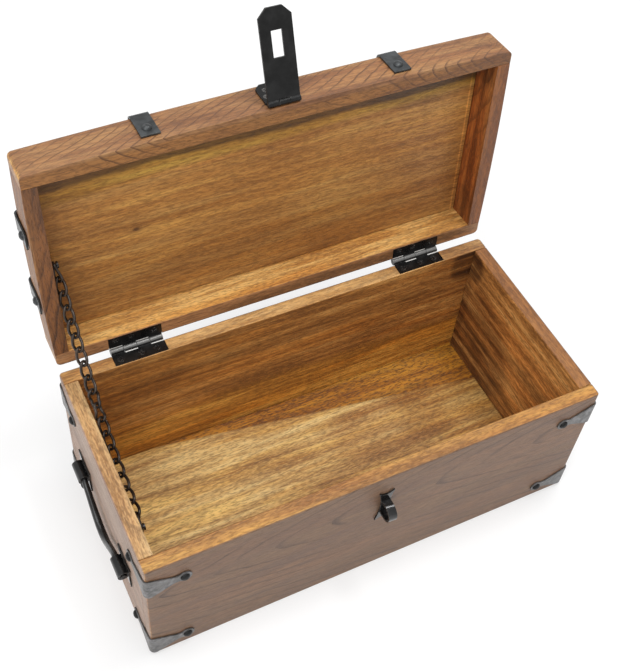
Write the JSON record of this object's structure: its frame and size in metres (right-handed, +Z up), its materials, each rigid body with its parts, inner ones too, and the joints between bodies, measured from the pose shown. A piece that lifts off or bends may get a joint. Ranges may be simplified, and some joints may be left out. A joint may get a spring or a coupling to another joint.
{
  "type": "treasure chest",
  "caption": "Small wooden chest with a hinged lid, iron straps and corner brackets, hasp and staple, drop handles and a stay chain.",
  "frame": {"origin": "middle of the underside of the box, where it stands on a floor", "axes": "+X along the chest to the right of someone who faces its front, +Y from the front to the hinged back, +Z up"},
  "size_m": [0.399, 0.2498, 0.3856],
  "materials": {
    "box_wood": "worn mango wood with grey-brown stain",
    "floor_wood": "golden brown mango wood, satin",
    "lid_wood": "reddish brown mango wood, satin, light wear",
    "black_iron": "black, semi-gloss",
    "old_iron": "dark grey, hammered and worn",
    "chain_iron": "dark brown-grey, worn bright at the edges"
  },
  "bodies": {
    "box": {"box_front_board": "box_wood", "box_back_board": "box_wood", "box_left_end": "box_wood", "box_right_end": "box_wood", "box_bottom": "floor_wood", "left_hinge_box_leaf": "black_iron", "left_hinge_pin": "black_iron", "right_hinge_box_leaf": "black_iron", "right_hinge_pin": "black_iron", "staple_plate": "old_iron", "staple_loop": "old_iron", "front_left_upper_bracket": "old_iron", "front_left_lower_bracket": "old_iron", "front_right_upper_bracket": "old_iron", "front_right_lower_bracket": "old_iron", "back_left_upper_bracket": "old_iron", "back_left_lower_bracket": "old_iron", "back_right_upper_bracket": "old_iron", "back_right_lower_bracket": "old_iron", "left_handle_front_mount": "old_iron", "left_handle_back_mount": "old_iron", "right_handle_front_mount": "old_iron", "right_handle_back_mount": "old_iron", "box_chain_screw": "black_iron"},
    "lid": {"lid_front_rail": "lid_wood", "lid_back_rail": "lid_wood", "lid_left_rail": "lid_wood", "lid_right_rail": "lid_wood", "lid_top_panel": "lid_wood", "left_hinge_lid_leaf": "black_iron", "right_hinge_lid_leaf": "black_iron", "hasp_plate": "black_iron", "hasp_pin": "black_iron", "left_cross_strap": "old_iron", "right_cross_strap": "old_iron", "front_long_strap": "old_iron", "back_long_strap": "old_iron", "lid_chain_screw": "black_iron"},
    "hasp_flap": {"hasp_strap": "black_iron"},
    "left_bail": {"left_handle_bail": "old_iron"},
    "right_bail": {"right_handle_bail": "old_iron"},
    "link_01": {"chain_link_01": "chain_iron"},
    "link_02": {"chain_link_02": "chain_iron"},
    "link_03": {"chain_link_03": "chain_iron"},
    "link_04": {"chain_link_04": "chain_iron"},
    "link_05": {"chain_link_05": "chain_iron"},
    "link_06": {"chain_link_06": "chain_iron"},
    "link_07": {"chain_link_07": "chain_iron"},
    "link_08": {"chain_link_08": "chain_iron"},
    "link_09": {"chain_link_09": "chain_iron"},
    "link_10": {"chain_link_10": "chain_iron"},
    "link_11": {"chain_link_11": "chain_iron"},
    "link_12": {"chain_link_12": "chain_iron"},
    "link_13": {"chain_link_13": "chain_iron"},
    "link_14": {"chain_link_14": "chain_iron"},
    "link_15": {"chain_link_15": "chain_iron"},
    "link_16": {"chain_link_16": "chain_iron"},
    "link_17": {"chain_link_17": "chain_iron"},
    "link_18": {"chain_link_18": "chain_iron"},
    "link_19": {"chain_link_19": "chain_iron"}
  },
  "joints": [
    {"name": "lid_hinge", "type": "hinge", "parent": "box", "child": "lid", "pos_m": [0, 0.0956, 0.1335], "axis": [1, 0, 0], "range_deg": [0, 94.3]},
    {"name": "hasp_hinge", "type": "hinge", "parent": "lid", "child": "hasp_flap", "pos_m": [0, 0.11296, 0.32443], "axis": [1, 0, 0], "range_deg": [-65, 107.5]},
    {"name": "left_bail_pivot", "type": "hinge", "parent": "box", "child": "left_bail", "pos_m": [-0.1949, 0, 0.064], "axis": [0, 1, 0], "range_deg": [0, 180]},
    {"name": "right_bail_pivot", "type": "hinge", "parent": "box", "child": "right_bail", "pos_m": [0.1949, 0, 0.064], "axis": [0, -1, 0], "range_deg": [0, 180]},
    {"name": "link_01_pivot", "type": "hinge", "parent": "lid", "child": "link_01", "pos_m": [-0.1749, 0.11785, 0.22268], "axis": [1, 0, 0], "range_deg": [-1, 59.38]},
    {"name": "link_02_pivot", "type": "hinge", "parent": "link_01", "child": "link_02", "pos_m": [-0.1749, 0.11207, 0.21341], "axis": [1, 0, 0], "range_deg": [-34.98, 1]},
    {"name": "link_03_pivot", "type": "hinge", "parent": "link_02", "child": "link_03", "pos_m": [-0.1749, 0.10607, 0.20429], "axis": [1, 0, 0], "range_deg": [-10.31, 1]},
    {"name": "link_04_pivot", "type": "hinge", "parent": "link_03", "child": "link_04", "pos_m": [-0.1749, 0.09982, 0.19532], "axis": [1, 0, 0], "range_deg": [-1, 40.3]},
    {"name": "link_05_pivot", "type": "hinge", "parent": "link_04", "child": "link_05", "pos_m": [-0.1749, 0.09332, 0.18654], "axis": [1, 0, 0], "range_deg": [-36.55, 1]},
    {"name": "link_06_pivot", "type": "hinge", "parent": "link_05", "child": "link_06", "pos_m": [-0.1749, 0.08655, 0.17797], "axis": [1, 0, 0], "range_deg": [-36.91, 1]},
    {"name": "link_07_pivot", "type": "hinge", "parent": "link_06", "child": "link_07", "pos_m": [-0.1749, 0.07949, 0.16964], "axis": [1, 0, 0], "range_deg": [-36.62, 1]},
    {"name": "link_08_pivot", "type": "hinge", "parent": "link_07", "child": "link_08", "pos_m": [-0.1749, 0.07212, 0.16157], "axis": [1, 0, 0], "range_deg": [-36.15, 1]},
    {"name": "link_09_pivot", "type": "hinge", "parent": "link_08", "child": "link_09", "pos_m": [-0.1749, 0.06444, 0.1538], "axis": [1, 0, 0], "range_deg": [-1, 10.05]},
    {"name": "link_10_pivot", "type": "hinge", "parent": "link_09", "child": "link_10", "pos_m": [-0.1749, 0.05643, 0.14638], "axis": [1, 0, 0], "range_deg": [-19.52, 1]},
    {"name": "link_19_pivot", "type": "hinge", "parent": "box", "child": "link_19", "pos_m": [-0.1749, -0.0416, 0.1033], "axis": [1, 0, 0], "range_deg": [-73.63, 1]},
    {"name": "link_18_pivot", "type": "hinge", "parent": "link_19", "child": "link_18", "pos_m": [-0.1749, -0.03071, 0.10416], "axis": [1, 0, 0], "range_deg": [-1, 33.37]},
    {"name": "link_17_pivot", "type": "hinge", "parent": "link_18", "child": "link_17", "pos_m": [-0.1749, -0.01993, 0.10592], "axis": [1, 0, 0], "range_deg": [-1, 10.52]},
    {"name": "link_16_pivot", "type": "hinge", "parent": "link_17", "child": "link_16", "pos_m": [-0.1749, -0.00933, 0.10855], "axis": [1, 0, 0], "range_deg": [-1, 10.36]},
    {"name": "link_15_pivot", "type": "hinge", "parent": "link_16", "child": "link_15", "pos_m": [-0.1749, 0.00104, 0.112], "axis": [1, 0, 0], "range_deg": [-1, 10.3]},
    {"name": "link_14_pivot", "type": "hinge", "parent": "link_15", "child": "link_14", "pos_m": [-0.1749, 0.01112, 0.11622], "axis": [1, 0, 0], "range_deg": [-1, 10.39]},
    {"name": "link_13_pivot", "type": "hinge", "parent": "link_14", "child": "link_13", "pos_m": [-0.1749, 0.02088, 0.12112], "axis": [1, 0, 0], "range_deg": [-10.52, 1]},
    {"name": "link_12_pivot", "type": "hinge", "parent": "link_13", "child": "link_12", "pos_m": [-0.1749, 0.0303, 0.12665], "axis": [1, 0, 0], "range_deg": [-1, 16.14]},
    {"name": "link_11_pivot", "type": "hinge", "parent": "link_12", "child": "link_11", "pos_m": [-0.1749, 0.03936, 0.13275], "axis": [1, 0, 0], "range_deg": [-10.25, 1]}
  ],
  "couplings": [
    {"joint": "link_01_pivot", "follows": "lid_hinge", "ratio": 0.60693},
    {"joint": "link_02_pivot", "follows": "lid_hinge", "ratio": -0.35325},
    {"joint": "link_03_pivot", "follows": "lid_hinge", "ratio": -0.09684},
    {"joint": "link_04_pivot", "follows": "lid_hinge", "ratio": 0.40856},
    {"joint": "link_05_pivot", "follows": "lid_hinge", "ratio": -0.36963},
    {"joint": "link_06_pivot", "follows": "lid_hinge", "ratio": -0.37331},
    {"joint": "link_07_pivot", "follows": "lid_hinge", "ratio": -0.37036},
    {"joint": "link_08_pivot", "follows": "lid_hinge", "ratio": -0.36548},
    {"joint": "link_09_pivot", "follows": "lid_hinge", "ratio": 0.09407},
    {"joint": "link_10_pivot", "follows": "lid_hinge", "ratio": -0.19252},
    {"joint": "link_19_pivot", "follows": "lid_hinge", "ratio": -0.75509},
    {"joint": "link_18_pivot", "follows": "lid_hinge", "ratio": 0.33652},
    {"joint": "link_17_pivot", "follows": "lid_hinge", "ratio": 0.09898},
    {"joint": "link_16_pivot", "follows": "lid_hinge", "ratio": 0.0973},
    {"joint": "link_15_pivot", "follows": "lid_hinge", "ratio": 0.09671},
    {"joint": "link_14_pivot", "follows": "lid_hinge", "ratio": 0.09758},
    {"joint": "link_13_pivot", "follows": "lid_hinge", "ratio": -0.099},
    {"joint": "link_12_pivot", "follows": "lid_hinge", "ratio": 0.1574},
    {"joint": "link_11_pivot", "follows": "lid_hinge", "ratio": -0.09615}
  ]
}
